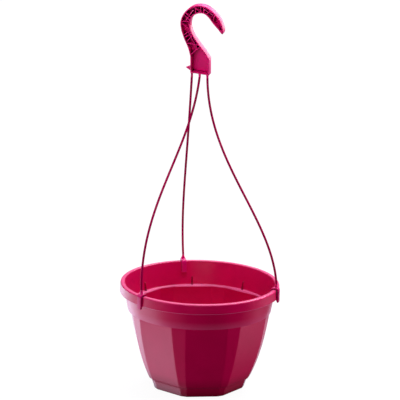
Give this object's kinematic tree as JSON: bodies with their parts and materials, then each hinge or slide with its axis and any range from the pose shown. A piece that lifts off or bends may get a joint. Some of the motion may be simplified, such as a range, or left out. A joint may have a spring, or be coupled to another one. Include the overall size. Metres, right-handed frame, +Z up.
{
  "type": "hanging basket",
  "caption": "Faceted plastic hanging pot with a rolled rim, carried by flexible moulded strands that rise from rim clips to a ribbed hook.",
  "frame": {"origin": "centre of the underside of the pot's base, on the pot's axis", "axes": "+Z up along the pot's axis; +X through the right-hand rim clip"},
  "size_m": [0.253, 0.25, 0.6057],
  "materials": {
    "pot_plastic": "satin-gloss injection-moulded polypropylene, magenta",
    "hanger_plastic": "satin-gloss injection-moulded polypropylene, magenta"
  },
  "bodies": {
    "pot": {"pot_shell": "pot_plastic"},
    "hanger": {"rim_clip_right": "hanger_plastic", "rim_clip_back": "hanger_plastic", "rim_clip_left": "hanger_plastic", "strand_right": "hanger_plastic", "strand_back": "hanger_plastic", "strand_left": "hanger_plastic"},
    "hook": {"hook": "hanger_plastic"}
  },
  "joints": [
    {"name": "hanger_turn", "type": "hinge", "parent": "pot", "child": "hanger", "pos_m": [0, 0, 0.16], "axis": [0, 0, 1], "continuous": true},
    {"name": "hook_tilt", "type": "hinge", "parent": "hanger", "child": "hook", "pos_m": [-0.00705, 0.00058, 0.47813], "axis": [0.9946, -0.0845, -0.0596], "range_deg": [-35, 25], "stiffness_Nm_per_rad": 0.25, "deforming": ["strand_right", "strand_back", "strand_left"]}
  ]
}
